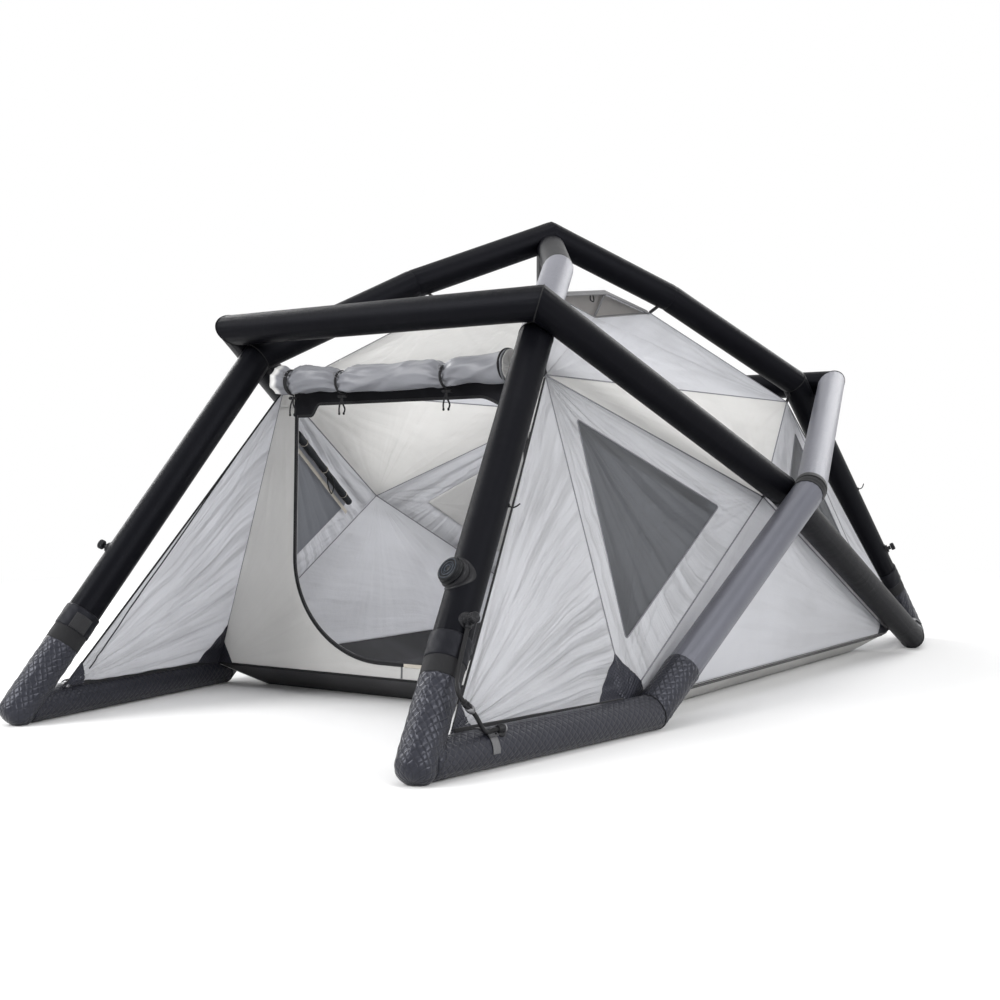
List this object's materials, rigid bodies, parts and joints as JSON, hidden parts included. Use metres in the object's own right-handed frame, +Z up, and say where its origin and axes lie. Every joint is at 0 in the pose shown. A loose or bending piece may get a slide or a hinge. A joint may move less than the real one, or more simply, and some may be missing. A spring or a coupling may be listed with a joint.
{
  "type": "inflatable tent",
  "caption": "Free-standing dome tent: an inner tent with a D-shaped door hangs inside a frame of crossing inflatable air tubes.",
  "frame": {"origin": "on the ground, midway between the front and rear feet and between the two sides", "axes": "+Z up, -Y out of the door, +X to the side that carries the roof vent, the hose and the inflation valve"},
  "size_m": [1.5548, 2.6833, 1.2201],
  "materials": {
    "cloth_silver": "silver-grey coated tent cloth",
    "fitting_metal": "bright metal",
    "floor_black": "black coated floor cloth",
    "mesh_grey": "grey fine mesh",
    "sleeve_black": "matte black woven sleeve",
    "sleeve_grey": "grey woven sleeve with a soft sheen",
    "sleeve_quilted": "charcoal quilted reinforcement",
    "valve_black": "black moulded plastic",
    "valve_blue_black": "blue-black moulded plastic",
    "webbing": "black webbing and elastic"
  },
  "bodies": {
    "tent": {"arch_front_left": "sleeve_black", "arch_front_right": "sleeve_black", "arch_rear_left": "sleeve_black", "arch_rear_right": "sleeve_black", "brow_front": "sleeve_black", "brow_rear": "sleeve_black", "door_header": "floor_black", "door_roll": "cloth_silver", "door_tie_1": "webbing", "door_tie_2": "webbing", "door_tie_3": "webbing", "door_zip": "sleeve_black", "floor_tray": "floor_black", "ground_front_left": "sleeve_quilted", "ground_front_right": "sleeve_quilted", "ground_rear_left": "sleeve_quilted", "ground_rear_right": "sleeve_quilted", "hoop_lower_left": "sleeve_grey", "hoop_lower_right": "sleeve_grey", "hoop_upper_left": "sleeve_grey", "hoop_upper_right": "sleeve_grey", "hose_fitting": "fitting_metal", "left_valve_base": "valve_black", "leg_front_left": "sleeve_black", "leg_front_right": "sleeve_black", "leg_rear_left": "sleeve_black", "leg_rear_right": "sleeve_black", "link_hose": "valve_black", "link_valve_base": "valve_black", "rear_valve_base": "valve_black", "roof_front": "cloth_silver", "roof_left": "cloth_silver", "roof_rear": "cloth_silver", "roof_right": "cloth_silver", "roof_top": "cloth_silver", "side_front_left": "cloth_silver", "side_front_right": "cloth_silver", "side_lower_left": "sleeve_black", "side_lower_right": "sleeve_black", "side_rear_left": "cloth_silver", "side_rear_right": "cloth_silver", "side_top_left": "cloth_silver", "side_top_right": "cloth_silver", "side_upper_left": "sleeve_black", "side_upper_right": "sleeve_black", "valve_body": "valve_black", "vent_mesh": "mesh_grey", "wall_front": "cloth_silver", "wall_rear": "cloth_silver", "window_front_left": "mesh_grey", "window_front_right": "mesh_grey", "window_rear_left": "mesh_grey", "window_rear_right": "mesh_grey"},
    "valve_cap": {"valve_cap": "valve_blue_black"},
    "left_valve_knob": {"left_valve_knob": "valve_black"},
    "rear_valve_knob": {"rear_valve_knob": "valve_black"},
    "link_valve_knob": {"link_valve_knob": "valve_black"},
    "zip_slider": {"zip_slider": "fitting_metal"},
    "zip_pull": {"zip_pull": "webbing"},
    "vent_prop": {"vent_prop": "webbing"}
  },
  "joints": [
    {"name": "valve_cap_turn", "type": "hinge", "parent": "tent", "child": "valve_cap", "pos_m": [0.49711, -1.07797, 0.33093], "axis": [-0.1985, -0.7986, 0.5682], "range_deg": [0, 360]},
    {"name": "left_valve_turn", "type": "hinge", "parent": "tent", "child": "left_valve_knob", "pos_m": [-0.49209, -1.05649, 0.35938], "axis": [-0.8509, -0.3359, 0.4039], "range_deg": [0, 90]},
    {"name": "rear_valve_turn", "type": "hinge", "parent": "tent", "child": "rear_valve_knob", "pos_m": [0.50145, 1.10275, 0.2826], "axis": [0.8561, 0.3182, 0.4073], "range_deg": [0, 90]},
    {"name": "link_valve_turn", "type": "hinge", "parent": "tent", "child": "link_valve_knob", "pos_m": [0.51008, -1.13348, 0.25745], "axis": [0.9083, -0.2407, 0.3421], "range_deg": [0, 90]},
    {"name": "zip_slide", "type": "slide", "parent": "tent", "child": "zip_slider", "axis": [0, 0.0331, 0.9995], "range_m": [-0.31, 0]},
    {"name": "pull_swing", "type": "hinge", "parent": "zip_slider", "child": "zip_pull", "pos_m": [0.343, -0.64394, 0.66243], "axis": [-1, 0, 0], "range_deg": [0, 170]},
    {"name": "prop_fold", "type": "hinge", "parent": "tent", "child": "vent_prop", "pos_m": [0.13812, 0, 0.95501], "axis": [0, 1, 0], "range_deg": [0, 90]}
  ]
}
